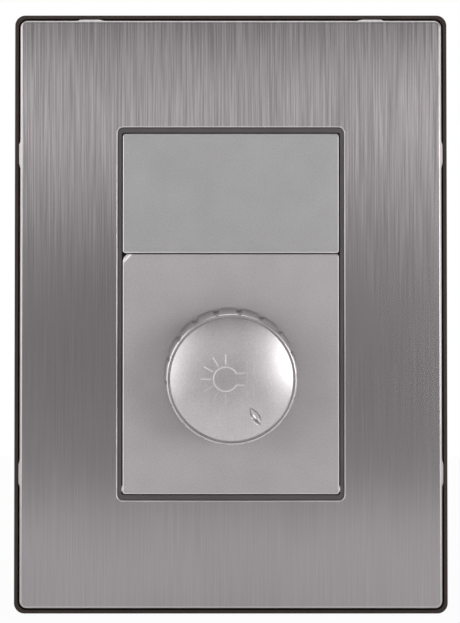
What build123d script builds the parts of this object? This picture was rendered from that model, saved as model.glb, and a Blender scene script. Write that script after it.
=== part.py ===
from build123d import *
import os
from math import radians, sin, cos

os.makedirs("parts", exist_ok=True)

# Rotary dimmer for a three-module wall plate, in millimetres.
# X runs to the right, Z up, and the front faces -Y. The origin is on the wall, at the
# centre of the plate. Every height below is counted from the wall, positive to the front.

# surround and metal cover
plate_width = 86.8
plate_height = 120.0
plate_corner = 2.1
lip_width = 0.75            # front edge of the surround that stays in sight
lip_top = 8.5               # front of that edge above the wall
lip_round = 0.3
frame_wall = 1.6
frame_floor = 1.8           # web of the surround, under the cover
cover_gap = 0.3             # all round between cover and surround
cover_proud = 0.3           # cover face in front of the surround
cover_corner = 1.5
cover_sheet = 0.8
cover_skirt = 3.0           # depth of the folded edge
cover_bend = 1.1            # outside radius of the fold
skirt_clearance = 0.3       # between the folded edge and the web
lance_length = 5.0          # pressed bumps that centre the cover
lance_rise = 2.0
fit_gap = 0.04              # between pieces that sit against each other
lance_x = 28.2
lance_z = 32.0
window_corner = 1.1
window_edge = 0.3

# module grid
module_pitch = 24.0
module_width = 43.2
module_rows = 3
module_gap = 0.3            # between modules and the rim around them
face_gap = 0.26             # dark line between two module faces
face_top = 9.2
face_edge = 0.25            # small bevel round each module face
face_corner = 0.5
shell_wall = 1.4

# mounting frame
flange_width = 70.0
flange_height = 106.0
flange_corner = 4.0
flange_thickness = 2.4
box_screw_spacing = 83.3
box_screw_hole = 4.2
rim_side = 0.65             # width of the rim that shows beside the modules
rim_end = 0.9               # and above and below them
rim_gap = 0.1               # rim to the window of the cover
rim_drop = 0.2              # rim below the cover face
rim_wall = 1.5              # thickness of the rim under the cover
rim_shoulder = 0.3          # shoulder of the rim below the cover sheet
ledge_width = 1.5
ledge_top = 2.8
claw_slot_width = 3.4
claw_slot_length = 10.0
claw_slot_z = 26.0
claw_slot_inset = 5.6       # slot centre from the flange edge

# clips between surround and mounting frame
ring_gap = 0.3
ring_wall = 1.4
hook_width = 8.0
hook_thickness = 1.4
hook_gap = 0.2
hook_barb = 1.3
hook_barb_thickness = 1.0
hook_end = 0.2              # lowest point of a hook above the wall
hook_z = 40.0
catch_thickness = 1.0       # what is left of the flange over a barb
catch_room = 0.5
stiffener = 1.2             # ribs on the back of the surround
stiffener_depth = 1.9

# module clips behind the mounting frame
clip_width = 7.0
clip_barb = 0.9
clip_length = 2.2
clip_play = 0.1
clip_slit = 0.8

# dimmer shell
fascia_thickness = 2.0
fascia_nib = 0.22           # centring nibs low on both sides of the face
nib_length = 1.1
nib_thickness = 0.5
chip_size = 1.5             # broken corner, upper left of the face
chip_depth = 1.9            # depth the slope of the break would reach at the corner
chip_notch = 0.7            # stub missing right at the corner
chip_notch_depth = 2.4
case_gap = 0.2
case_wall = 1.6
case_back = 33.0            # depth of the case behind the wall
case_corner = 1.2
case_inset = 0.93           # case below the upper edge of the face, and above the lower one
latch_width = 5.0
latch_rise = 0.9
latch_thickness = 1.4
latch_top = 5.6
latch_room = 0.3
latch_x = 12.0
vent_width = 1.4
vent_length = 13.0
vent_pitch = 3.6
vent_count = 5
vent_depth_start = 8.0      # first end of the vents behind the wall
post_side = 3.0

# knob
knob_base_radius = 13.2
knob_rim_radius = 12.0
knob_lift = 0.5             # knob above the module face
knob_height = 16.0
knob_lobes = 18
groove_radius = 0.75
groove_depth_base = 0.7
groove_depth_rim = 0.2
knob_wall = 1.5
knob_rim_round = 0.35
cap_gap = 0.18              # dark line round the cap
cap_ring = 0.42             # width of the bright ring outside that line
cap_recess = 1.6
cap_drop = 0.15             # edge of the cap below the ring
cap_crown = 0.85
cap_edge = 0.15
cap_pegs = 3
cap_peg_radius = 1.0
cap_peg_circle = 7.6
cap_peg_length = 1.4
cap_peg_gap = 0.05
cap_peg_angle = 30.0        # first peg, between two ribs
knob_web = 1.6
bore_room = 0.4             # free length of the bore beyond what the shaft needs
hub_radius = 5.0
hub_gap = 0.6               # hub to the end of the bushing
hub_ribs = 6
hub_rib_thickness = 0.9
hub_rib_depth = 5.0
pointer_angle = -57.0       # degrees from +X towards +Z, the direction of the dimple
pointer_radius = 8.2
pointer_length = 3.6
pointer_width = 1.25
pointer_lift = 0.12

# rotary control behind the face
shaft_radius = 3.0
shaft_gap = 0.03            # radial running gap
shaft_out = 8.0             # shaft in front of the bushing
shaft_flat = 1.5            # flat, from the axis
shaft_flat_start = 1.0
shaft_collar_radius = 4.2
shaft_collar = 0.8
collar_gap = 0.3            # collar inside the wafer
tenon_radius = 2.0
bushing_radius = 3.5
bushing_out = 3.8           # bushing in front of the face
bushing_gap = 0.1
bushing_flange_radius = 7.9
bushing_flange = 1.0
nut_flats = 10.0
nut_thickness = 2.2
washer_radius = 5.9
washer_thickness = 0.5
pot_radius = 8.3
pot_wall = 0.8
pot_depth = 7.0
wafer_thickness = 1.2
wafer_tab_width = 11.0
wafer_tab_reach = 11.0
wiper_radius = 6.9
wiper_thickness = 1.0
wiper_lift = 0.8
brush_radius = 6.0
brush_size = 1.2
brush_count = 2
brush_start = 10.0          # degrees from the pointer to the first brush
brush_spread = 20.0
lug_pitch = 4.0
lug_width = 1.2
lug_thickness = 0.5
lug_tail = 0.6
switch_radius = 7.6
switch_depth = 4.4
spring_width = 3.2
spring_thickness = 0.3
spring_length = 6.0

# circuit board and what it carries
board_gap = 0.5
board_thickness = 1.6
board_edge = 0.4
lead_hole = 0.8
lead_radius = 0.35
standoff = 0.3
choke_radius = 8.0
choke_bore = 4.0
choke_core = 7.0
winding_wall = 0.9
winding_turns = 20
winding_ridge = 0.35
choke_share = 1 / 6         # of the free width, between the choke and the left wall
choke_room = 0.4            # choke above the fuse
film_width = 5.6
film_length = 13.0
film_height = 11.5
film_pitch = 6.8
film_share = 1 / 3          # of the free width, between the capacitors and the right wall
film_room = 1.8             # capacitors above the fuse
triac_width = 10.0
triac_length = 9.0
triac_body = 4.4
triac_tab = 6.4
triac_tab_thickness = 1.3
triac_leg = 6.0
triac_leg_pitch = 2.54
sink_gap = 1.4              # between the heat sink and the corner posts
sink_depth = 21.0
sink_thickness = 1.5
sink_edge = 0.8             # to the inner wall of the case
sink_screw_radius = 1.5
sink_head_radius = 2.8
sink_head = 1.6
fuse_radius = 2.5
fuse_length = 20.0
fuse_cap = 5.0
fuse_x = 0.0                # its clips stand either side of the lugs
fuse_room = 0.36            # fuse clips above the terminal block
fuse_clip_wall = 0.4
fuse_clip_width = 4.4
resistor_radius = 1.25
resistor_length = 6.6
resistor_pitch = 8.6
resistor_count = 3
diac_radius = 1.0
diac_length = 4.2
part_margin = 4.6           # resistors and diode in from the edge of the board

# terminals
terminal_count = 3
block_gap = 0.9             # between the block and the corner posts
block_cheek = 0.4           # end of the block beyond the outer terminals' share
terminal_block_depth = 8.8
terminal_block_length = 13.6
clamp_side = 6.2
clamp_length = 6.6
clamp_gap = 0.1
clamp_rear_wall = 3.0
wire_hole = 3.6
terminal_screw_radius = 1.6
terminal_head_radius = 2.7
terminal_head = 1.8
screw_access = 6.0
screw_slot = 0.7

# sizes that follow from the ones above
cover_top = lip_top + cover_proud
cover_width = plate_width - 2 * (lip_width + cover_gap)
cover_height = plate_height - 2 * (lip_width + cover_gap)
cover_low = cover_top - cover_skirt
sheet_back = cover_top - cover_sheet
floor_top = cover_low - skirt_clearance
floor_low = floor_top - frame_floor
opening_width = module_width + 2 * module_gap
opening_height = module_rows * module_pitch + 2 * module_gap
window_width = opening_width + 2 * (rim_side + rim_gap)
window_height = opening_height + 2 * (rim_end + rim_gap)
rim_width = opening_width + 2 * rim_wall
rim_height = opening_height + 2 * rim_wall
ring_width = rim_width + 2 * ring_gap
ring_height = rim_height + 2 * ring_gap
stack_top = module_rows * module_pitch / 2
dimmer_top = stack_top - module_pitch - face_gap / 2
dimmer_low = -stack_top
dimmer_height = dimmer_top - dimmer_low
dimmer_z = (dimmer_top + dimmer_low) / 2
blank_low = stack_top - module_pitch + face_gap / 2
blank_height = stack_top - blank_low
blank_z = (stack_top + blank_low) / 2
knob_z = -module_pitch / 2
ledge_half = opening_width / 2 - ledge_width
fascia_back = face_top - fascia_thickness
case_width = module_width - 2 * (shell_wall + case_gap)
case_height = dimmer_height - 2 * case_inset
case_inner_width = case_width - 2 * case_wall
case_inner_back = case_wall - case_back
case_inner_low = dimmer_z - case_height / 2 + case_wall
case_inner_top = dimmer_z + case_height / 2 - case_wall
knob_low = face_top + knob_lift
knob_top = knob_low + knob_height
cap_seat = knob_top - cap_recess
cap_pocket_radius = knob_rim_radius - cap_ring
cap_radius = cap_pocket_radius - cap_gap
web_low = cap_seat - knob_web
hollow_base_radius = knob_base_radius - groove_depth_base - knob_wall
hollow_rim_radius = knob_rim_radius - groove_depth_rim - knob_wall
bushing_top = face_top + bushing_out
hub_low = bushing_top + hub_gap
shaft_top = bushing_top + shaft_out
bushing_low = fascia_back - bushing_flange
pot_low = bushing_low - pot_depth
wafer_low = bushing_low - wafer_thickness
collar_top = bushing_low - fit_gap
wiper_low = pot_low + pot_wall + wiper_lift
wiper_top = wiper_low + wiper_thickness
switch_low = pot_low - switch_depth
board_top = switch_low - board_gap
board_low = board_top - board_thickness
parts_top = board_low - standoff
terminal_block_width = case_inner_width - 2 * (post_side + block_gap)
terminal_pitch = (terminal_block_width - 2 * block_cheek) / terminal_count
sink_width = case_inner_width - 2 * (post_side + sink_gap)
winding_radius = choke_radius + winding_wall
film_row = film_pitch + film_width
bench_slack = case_inner_width - 2 * winding_radius - film_row   # shared out between the parts
choke_x = bench_slack * choke_share - case_inner_width / 2 + winding_radius
film_x = case_inner_width / 2 - bench_slack * film_share - film_row + film_width / 2
fuse_z = case_inner_low + terminal_block_depth + fuse_room + fuse_radius + fuse_clip_wall
bench_low = fuse_z + fuse_radius + fuse_clip_wall                # upper edge of the fuse clips
choke_z = bench_low + choke_room + winding_radius
film_z = bench_low + film_room + film_length / 2
resistor_x = part_margin + board_edge - case_inner_width / 2
diac_x = case_inner_width / 2 - board_edge - part_margin
block_z = case_inner_low + terminal_block_depth / 2
clamp_low = case_inner_back + clamp_rear_wall


def at(height, x=0.0, z=0.0):
    """Plane parallel to the wall at a height in front of it; its own y runs up."""
    return Plane(origin=(x, -height, z), x_dir=(1, 0, 0), z_dir=(0, -1, 0))


def on_axis(height):
    """The same plane on the knob's axis, with its own x along the pointer."""
    angle = radians(pointer_angle)
    return Plane(origin=(0, -height, knob_z), x_dir=(cos(angle), 0, sin(angle)), z_dir=(0, -1, 0))


def keep(shape, name):
    shape.part.label = name
    export_step(shape.part, f"parts/{name}.step")


# metal cover: a pressed pan with a folded edge and the window for the modules
with BuildPart() as cover_plate:
    with BuildSketch(at(cover_low)):
        RectangleRounded(cover_width, cover_height, cover_corner)
    extrude(amount=cover_skirt)
    fillet(cover_plate.faces().sort_by(Axis.Y)[0].edges(), cover_bend)
    with BuildSketch(at(cover_low)):
        RectangleRounded(
            cover_width - 2 * cover_sheet, cover_height - 2 * cover_sheet, cover_corner - cover_sheet
        )
    extrude(amount=cover_skirt - cover_sheet, mode=Mode.SUBTRACT)
    with BuildSketch(at(sheet_back)):
        RectangleRounded(window_width, window_height, window_corner)
    extrude(amount=cover_sheet, mode=Mode.SUBTRACT)
    window_edges = cover_plate.faces().sort_by(Axis.Y)[0].inner_wires()[0].edges()
    chamfer(window_edges, window_edge)
    # pressed bumps on the folded edge, two to a side, that centre the pan in its surround
    for side in (-1, 1):
        for place in (-1, 1):
            with BuildSketch(Plane.YZ.offset(place * lance_x - lance_length / 2)):
                with Locations((-cover_low, side * cover_height / 2)):
                    Polygon(
                        (0, 0),
                        (-lance_rise, 0),
                        (-lance_rise, side * (cover_gap - fit_gap)),
                        align=None,
                    )
            extrude(amount=lance_length)
            with BuildSketch(Plane.XY.offset(place * lance_z - lance_length / 2)):
                with Locations((side * cover_width / 2, -cover_low)):
                    Polygon(
                        (0, 0),
                        (0, -lance_rise),
                        (side * (cover_gap - fit_gap), -lance_rise),
                        align=None,
                    )
            extrude(amount=lance_length)
keep(cover_plate, "cover_plate")


# surround: a moulded tray whose edge shows round the cover, with four hooks at the back
with BuildPart() as plate_frame:
    with BuildSketch(at(0)):
        RectangleRounded(plate_width, plate_height, plate_corner)
    extrude(amount=lip_top)
    fillet(plate_frame.faces().sort_by(Axis.Y)[0].edges(), lip_round)
    with BuildSketch(at(floor_top)):
        RectangleRounded(
            cover_width + 2 * cover_gap, cover_height + 2 * cover_gap, cover_corner + cover_gap
        )
    extrude(amount=lip_top - floor_top, mode=Mode.SUBTRACT)
    with BuildSketch(at(0)):
        RectangleRounded(
            plate_width - 2 * frame_wall, plate_height - 2 * frame_wall, plate_corner - frame_wall
        )
    extrude(amount=floor_low, mode=Mode.SUBTRACT)
    # collar round the modules that backs the cover sheet
    with BuildSketch(at(floor_low)):
        RectangleRounded(ring_width + 2 * ring_wall, ring_height + 2 * ring_wall, ring_wall + ring_gap)
    extrude(amount=sheet_back - floor_low)
    with BuildSketch(at(floor_low)):
        RectangleRounded(ring_width, ring_height, window_corner)
    extrude(amount=sheet_back - floor_low, mode=Mode.SUBTRACT)
    # stiffening ribs behind the web, from the outer wall inwards
    rib_reach = (plate_width - flange_width) / 2 - frame_wall - hook_thickness - hook_gap - catch_room
    for side in (-1, 1):
        for row in (-1, 0, 1):
            rib_x = side * (plate_width / 2 - frame_wall - rib_reach / 2)
            with BuildSketch(at(floor_low - stiffener_depth, rib_x, row * module_pitch)):
                Rectangle(rib_reach, stiffener)
            extrude(amount=stiffener_depth)
    # hooks that snap round the edge of the mounting frame
    for side in (-1, 1):
        for row in (-1, 1):
            foot = side * (flange_width / 2 + hook_gap)
            with BuildSketch(Plane.XY.offset(row * hook_z - hook_width / 2)):
                with BuildLine():
                    Polyline(
                        (foot, -floor_low),
                        (foot, -hook_end - hook_barb_thickness),
                        (foot - side * hook_barb, -hook_end - hook_barb_thickness),
                        (foot - side * hook_barb, -hook_end - hook_barb_thickness / 2),
                        (foot, -hook_end),
                        (foot + side * hook_thickness, -hook_end),
                        (foot + side * hook_thickness, -floor_low),
                        close=True,
                    )
                make_face()
            extrude(amount=hook_width)
keep(plate_frame, "plate_frame")


# mounting frame: flange with two screw holes, and the rim that shows inside the window
with BuildPart() as mounting_frame:
    with BuildSketch(at(0)):
        RectangleRounded(flange_width, flange_height, flange_corner)
    extrude(amount=flange_thickness)
    with BuildSketch(at(0)):
        RectangleRounded(rim_width, rim_height, window_corner)
    extrude(amount=sheet_back - rim_shoulder)
    with BuildSketch(at(0)):
        RectangleRounded(window_width - 2 * rim_gap, window_height - 2 * rim_gap, window_corner - rim_gap)
    extrude(amount=cover_top - rim_drop)
    with BuildSketch(at(ledge_top)):
        RectangleRounded(opening_width, opening_height, face_corner)
    extrude(amount=cover_top, mode=Mode.SUBTRACT)
    with BuildSketch(at(0)):
        Rectangle(2 * ledge_half, opening_height)
    extrude(amount=ledge_top, mode=Mode.SUBTRACT)
    for end in (-1, 1):
        with Locations(at(flange_thickness, 0, end * box_screw_spacing / 2)):
            Hole(box_screw_hole / 2)
    # slots for expansion claws
    with BuildSketch(at(0)):
        with GridLocations(flange_width - 2 * claw_slot_inset, claw_slot_z, 2, 2):
            SlotOverall(claw_slot_length, claw_slot_width, rotation=90)
    extrude(amount=flange_thickness, mode=Mode.SUBTRACT)
    # pockets under the flange edge for the hooks of the surround
    with BuildSketch(at(0)):
        with GridLocations(flange_width - hook_barb - catch_room, 2 * hook_z, 2, 2):
            Rectangle(hook_barb + catch_room, hook_width + 2 * catch_room)
    extrude(amount=flange_thickness - catch_thickness, mode=Mode.SUBTRACT)
keep(mounting_frame, "mounting_frame")


# blank insert: a one-module cap with two sprung clips on each side
with BuildPart() as blank_insert:
    with BuildSketch(at(ledge_top, 0, blank_z)):
        RectangleRounded(module_width, blank_height, face_corner)
    extrude(amount=face_top - ledge_top)
    chamfer(blank_insert.faces().sort_by(Axis.Y)[0].edges(), face_edge)
    with BuildSketch(at(ledge_top, 0, blank_z)):
        Rectangle(module_width - 2 * shell_wall, blank_height - 2 * shell_wall)
    extrude(amount=face_top - fascia_thickness - ledge_top, mode=Mode.SUBTRACT)
    # cross ribs behind the face
    with BuildSketch(at(ledge_top, 0, blank_z)):
        with GridLocations(module_width / 3, 0, 2, 1):
            Rectangle(stiffener, blank_height - shell_wall)
    extrude(amount=face_top - fascia_thickness - ledge_top)
    clip_foot = ledge_half - case_gap
    for side in (-1, 1):
        with BuildSketch(Plane.XY.offset(blank_z - clip_width / 2)):
            with BuildLine():
                Polyline(
                    (side * clip_foot, -ledge_top),
                    (side * clip_foot, clip_play),
                    (side * (clip_foot + clip_barb), clip_play),
                    (side * (clip_foot + clip_barb), clip_play + clip_length / 3),
                    (side * clip_foot, clip_play + clip_length),
                    (side * (clip_foot - shell_wall), clip_play + clip_length),
                    (side * (clip_foot - shell_wall), -fascia_back),
                    (side * (clip_foot), -fascia_back),
                    close=True,
                )
            make_face()
        extrude(amount=clip_width)
keep(blank_insert, "blank_insert")


# dimmer face: front wall, skirt, four legs that press on the circuit board
with BuildPart() as dimmer_fascia:
    with BuildSketch(at(ledge_top, 0, dimmer_z)):
        RectangleRounded(module_width, dimmer_height, face_corner)
    extrude(amount=face_top - ledge_top)
    chamfer(dimmer_fascia.faces().sort_by(Axis.Y)[0].edges(), face_edge)
    with BuildSketch(at(ledge_top, 0, dimmer_z)):
        Rectangle(module_width - 2 * shell_wall, case_height + 2 * case_gap)
    extrude(amount=fascia_back - ledge_top, mode=Mode.SUBTRACT)
    with Locations(at(face_top, 0, knob_z)):
        Hole(bushing_radius + bushing_gap)
    # windows in the skirt for the latches of the case
    with BuildSketch(at(latch_top + latch_room, 0, dimmer_z)):
        with GridLocations(2 * latch_x, dimmer_height, 2, 2):
            Rectangle(latch_width + 2 * latch_room, dimmer_height - case_height)
    extrude(amount=-(latch_thickness + 2 * latch_room), mode=Mode.SUBTRACT)
    # legs
    with BuildSketch(at(board_top, 0, dimmer_z)):
        with GridLocations(
            case_inner_width - post_side - 2 * board_edge,
            case_height - 2 * case_wall - post_side - 2 * board_edge, 2, 2
        ):
            Rectangle(post_side, post_side)
    extrude(amount=fascia_back - board_top)
    # centring nibs low on both edges
    for side in (-1, 1):
        with BuildSketch(at(face_top - face_edge - nib_thickness, 0, 0)):
            with Locations((side * module_width / 2, dimmer_low + face_corner + nib_length / 2)):
                Rectangle(2 * fascia_nib, nib_length)
        extrude(amount=nib_thickness)
    # broken corner: a slope down to a stub that is missing altogether
    chip_plane = Plane(
        origin=(-module_width / 2 + chip_size, -face_top, dimmer_top),
        x_dir=(1, 0, 1),
        z_dir=(-1 / chip_size, -1 / chip_depth, 1 / chip_size),
    )
    with BuildSketch(chip_plane):
        Rectangle(4 * chip_size, 4 * chip_size)
    extrude(amount=2 * chip_size, mode=Mode.SUBTRACT)
    with BuildSketch(at(face_top - chip_notch_depth, -module_width / 2, dimmer_top)):
        Polygon((0, 0), (chip_notch, 0), (0, -chip_notch), align=None)
    extrude(amount=chip_notch_depth, mode=Mode.SUBTRACT)
keep(dimmer_fascia, "dimmer_fascia")


# rear case: a box open to the front, with vents, screw holes, wire entries and clips
with BuildPart() as dimmer_case:
    with BuildSketch(at(-case_back, 0, dimmer_z)):
        RectangleRounded(case_width, case_height, case_corner)
    extrude(amount=case_back + fascia_back)
    chamfer(dimmer_case.faces().sort_by(Axis.Y)[-1].edges(), face_edge)
    with BuildSketch(at(case_inner_back, 0, dimmer_z)):
        Rectangle(case_inner_width, case_height - 2 * case_wall)
    extrude(amount=case_back + fascia_back, mode=Mode.SUBTRACT)
    # corner posts that carry the circuit board
    with BuildSketch(at(case_inner_back, 0, dimmer_z)):
        with GridLocations(
            case_inner_width - post_side, case_height - 2 * case_wall - post_side, 2, 2
        ):
            Rectangle(post_side, post_side)
    extrude(amount=board_low - case_inner_back)
    # latches towards the skirt of the face
    with BuildSketch(at(latch_top - latch_thickness, 0, dimmer_z)):
        with GridLocations(2 * latch_x, case_height, 2, 2):
            Rectangle(latch_width, 2 * latch_rise)
        Rectangle(case_width, case_height - 2 * case_wall, mode=Mode.SUBTRACT)
    extrude(amount=latch_thickness)
    # clips behind the mounting frame, each on a tongue between two slits
    for side in (-1, 1):
        for row in (dimmer_z - module_pitch / 2, dimmer_z + module_pitch / 2):
            with BuildSketch(Plane.XY.offset(row - clip_width / 2)):
                with BuildLine():
                    Polyline(
                        (side * case_width / 2, clip_play),
                        (side * (case_width / 2 + clip_barb), clip_play),
                        (side * (case_width / 2 + clip_barb), clip_play + clip_length / 3),
                        (side * case_width / 2, clip_play + clip_length),
                        close=True,
                    )
                make_face()
            extrude(amount=clip_width)
            for edge in (-1, 1):
                slit_z = row + edge * (clip_width + clip_slit) / 2
                with BuildSketch(Plane.XY.offset(slit_z - clip_slit / 2)):
                    with Locations((side * (case_width - case_wall) / 2, clip_length)):
                        Rectangle(2 * case_wall, 3 * clip_length)
                extrude(amount=clip_slit, mode=Mode.SUBTRACT)
    # vents in the upper wall
    with BuildSketch(Plane.XY.offset(case_inner_top)):
        with Locations((0, vent_depth_start + vent_length / 2)):
            with GridLocations(vent_pitch, 0, vent_count, 1):
                SlotOverall(vent_length, vent_width, rotation=90)
    extrude(amount=case_wall, mode=Mode.SUBTRACT)
    # access to the terminal screws from behind
    with BuildSketch(at(-case_back, 0, block_z)):
        with GridLocations(terminal_pitch, 0, terminal_count, 1):
            Circle(screw_access / 2)
    extrude(amount=case_wall, mode=Mode.SUBTRACT)
    # wire entries from below
    with BuildSketch(Plane.XY.offset(dimmer_z - case_height / 2)):
        with Locations((0, -clamp_low - clamp_length / 2)):
            with GridLocations(terminal_pitch, 0, terminal_count, 1):
                Circle(wire_hole / 2)
    extrude(amount=case_wall, mode=Mode.SUBTRACT)
keep(dimmer_case, "dimmer_case")


def groove_plane(n):
    """Plane across groove n at the foot of the knob; its normal runs up along the taper."""
    angle = radians(pointer_angle + n * 360 / knob_lobes)
    foot = knob_base_radius + groove_radius - groove_depth_base
    head = knob_rim_radius + groove_radius - groove_depth_rim
    return Plane(
        origin=(foot * cos(angle), -knob_low, knob_z + foot * sin(angle)),
        z_dir=((head - foot) * cos(angle), -knob_height, (head - foot) * sin(angle)),
    )


# knob: fluted grip with a hollow back, a hub for the shaft and a pocket for the cap
with BuildPart() as knob_grip:
    # the profile is turned from the middle of a land, so that no groove runs along its start
    land = radians(pointer_angle + 180 / knob_lobes)
    land_plane = Plane(
        origin=(0, 0, knob_z), x_dir=(cos(land), 0, sin(land)), z_dir=(-sin(land), 0, cos(land))
    )
    with BuildSketch(land_plane):
        with BuildLine():
            Polyline(
                (knob_rim_radius - knob_rim_round, -knob_top),
                (0, -knob_top),
                (0, -web_low),
                (hollow_rim_radius, -web_low),
                (hollow_base_radius, -knob_low),
                (knob_base_radius, -knob_low),
                (knob_rim_radius, -knob_top + knob_rim_round),
            )
            RadiusArc(
                (knob_rim_radius, -knob_top + knob_rim_round),
                (knob_rim_radius - knob_rim_round, -knob_top),
                knob_rim_round,
            )
        make_face()
    revolve(axis=Axis((0, 0, knob_z), (0, 1, 0)))
    with BuildSketch(*[groove_plane(n) for n in range(knob_lobes)]):
        Circle(groove_radius)
    extrude(amount=2 * knob_height, both=True, mode=Mode.SUBTRACT)
    # hub, and the ribs that tie it to the wall: each runs from the axis to the middle of the wall
    with BuildSketch(at(hub_low, 0, knob_z)):
        Circle(hub_radius)
    extrude(amount=web_low - hub_low)
    rib_end = hollow_rim_radius + knob_wall / 2
    with BuildSketch(at(web_low - hub_rib_depth, 0, knob_z)):
        with PolarLocations(rib_end / 2, hub_ribs):
            Rectangle(rib_end, hub_rib_thickness)
    extrude(amount=hub_rib_depth)
    # bore with a flat, wide enough for the spring on the flat of the shaft
    with BuildSketch(on_axis(hub_low)):
        Circle(shaft_radius + shaft_gap)
    extrude(amount=shaft_flat_start + bore_room, mode=Mode.SUBTRACT)
    with BuildSketch(on_axis(hub_low)):
        Circle(shaft_radius + shaft_gap)
        flat_reach = 2 * shaft_radius
        with Locations((shaft_flat + spring_thickness + shaft_gap + flat_reach / 2, 0)):
            Rectangle(flat_reach, 2 * flat_reach, mode=Mode.SUBTRACT)
    extrude(amount=shaft_top + bore_room - hub_low, mode=Mode.SUBTRACT)
    # pocket for the cap and the holes for its pegs
    with BuildSketch(at(cap_seat, 0, knob_z)):
        Circle(cap_pocket_radius)
    extrude(amount=cap_recess, mode=Mode.SUBTRACT)
    with BuildSketch(at(web_low, 0, knob_z)):
        with PolarLocations(cap_peg_circle, cap_pegs, start_angle=cap_peg_angle):
            Circle(cap_peg_radius + cap_peg_gap)
    extrude(amount=knob_web, mode=Mode.SUBTRACT)
keep(knob_grip, "knob_grip")


# domed cap in the front of the knob, with the pointer dimple
with BuildPart() as knob_cap:
    crown_foot = knob_top - cap_drop
    crown_reach = cap_radius - cap_edge
    crown_radius = (crown_reach**2 + cap_crown**2) / (2 * cap_crown)
    with BuildSketch(Plane(origin=(0, 0, knob_z), x_dir=(1, 0, 0), z_dir=(0, 0, 1))):
        with BuildLine():
            Polyline(
                (0, -crown_foot - cap_crown),
                (0, -cap_seat),
                (cap_radius, -cap_seat),
                (cap_radius, -crown_foot + cap_edge),
                (crown_reach, -crown_foot),
            )
            RadiusArc((crown_reach, -crown_foot), (0, -crown_foot - cap_crown), crown_radius)
        make_face()
    revolve(axis=Axis((0, 0, knob_z), (0, 1, 0)))
    with BuildSketch(at(cap_seat, 0, knob_z)):
        with PolarLocations(cap_peg_circle, cap_pegs, start_angle=cap_peg_angle):
            Circle(cap_peg_radius)
    extrude(amount=-cap_peg_length)
    # almond-shaped dimple: a spindle that lies along the pointer direction
    sink = crown_radius - (crown_radius**2 - pointer_radius**2) ** 0.5
    dimple_height = crown_foot + cap_crown - sink + pointer_lift
    dimple_plane = on_axis(dimple_height)
    with BuildSketch(dimple_plane):
        with BuildLine():
            near = pointer_radius - pointer_length / 2
            far = pointer_radius + pointer_length / 2
            ThreePointArc((near, 0), (pointer_radius, pointer_width / 2), (far, 0))
            Line((far, 0), (near, 0))
        make_face()
    revolve(axis=Axis(dimple_plane.origin, dimple_plane.x_dir), mode=Mode.SUBTRACT)
keep(knob_cap, "knob_cap")


# leaf spring between the flat of the shaft and the hub
with BuildPart() as knob_spring:
    with BuildSketch(on_axis(shaft_top - spring_length)):
        with Locations((shaft_flat + spring_thickness / 2, 0)):
            Rectangle(spring_thickness, spring_width)
    extrude(amount=spring_length)
keep(knob_spring, "knob_spring")


# shaft: flat for the knob, collar behind the bushing, tenon for the wiper
with BuildPart() as control_shaft:
    with BuildSketch(at(wiper_top, 0, knob_z)):
        Circle(shaft_radius)
    extrude(amount=shaft_top - wiper_top)
    chamfer(control_shaft.faces().sort_by(Axis.Y)[0].edges(), face_edge)
    with BuildSketch(at(collar_top, 0, knob_z)):
        Circle(shaft_collar_radius)
    extrude(amount=-shaft_collar)
    with BuildSketch(at(wiper_low, 0, knob_z)):
        Circle(tenon_radius)
    extrude(amount=wiper_thickness)
    flat_low = hub_low + shaft_flat_start
    with BuildSketch(on_axis(flat_low)):
        with Locations((shaft_flat + shaft_radius, 0)):
            Rectangle(2 * shaft_radius, 2 * shaft_radius)
    extrude(amount=shaft_top - flat_low, mode=Mode.SUBTRACT)
keep(control_shaft, "control_shaft")


# wiper: disc on the tenon with two brushes towards the track
with BuildPart() as wiper:
    with BuildSketch(at(wiper_low, 0, knob_z)):
        Circle(wiper_radius)
        Circle(tenon_radius, mode=Mode.SUBTRACT)
    extrude(amount=wiper_thickness)
    with BuildSketch(on_axis(wiper_top)):
        with PolarLocations(
            brush_radius - brush_size / 2, brush_count, start_angle=brush_start, angular_range=brush_spread
        ):
            Rectangle(brush_size, brush_size)
    extrude(amount=wafer_low - fit_gap - wiper_top)
keep(wiper, "wiper")


# threaded bushing with the front plate of the control
with BuildPart() as control_bushing:
    with BuildSketch(at(bushing_low, 0, knob_z)):
        Circle(bushing_flange_radius)
    extrude(amount=bushing_flange)
    with BuildSketch(at(bushing_low, 0, knob_z)):
        Circle(bushing_radius)
    extrude(amount=bushing_top - bushing_low)
    chamfer(control_bushing.faces().sort_by(Axis.Y)[0].edges(), face_edge)
    with BuildSketch(at(bushing_low, 0, knob_z)):
        Circle(shaft_radius + shaft_gap)
    extrude(amount=bushing_top - bushing_low, mode=Mode.SUBTRACT)
keep(control_bushing, "control_bushing")


# washer and hexagon nut in front of the face, inside the knob
with BuildPart() as bushing_washer:
    with BuildSketch(at(face_top, 0, knob_z)):
        Circle(washer_radius)
        Circle(bushing_radius + bushing_gap, mode=Mode.SUBTRACT)
    extrude(amount=washer_thickness)
keep(bushing_washer, "bushing_washer")

with BuildPart() as bushing_nut:
    nut_low = face_top + washer_thickness
    with BuildSketch(at(nut_low, 0, knob_z)):
        RegularPolygon(nut_flats / 2, 6, major_radius=False)
        Circle(bushing_radius + shaft_gap, mode=Mode.SUBTRACT)
    extrude(amount=nut_thickness)
keep(bushing_nut, "bushing_nut")


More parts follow.
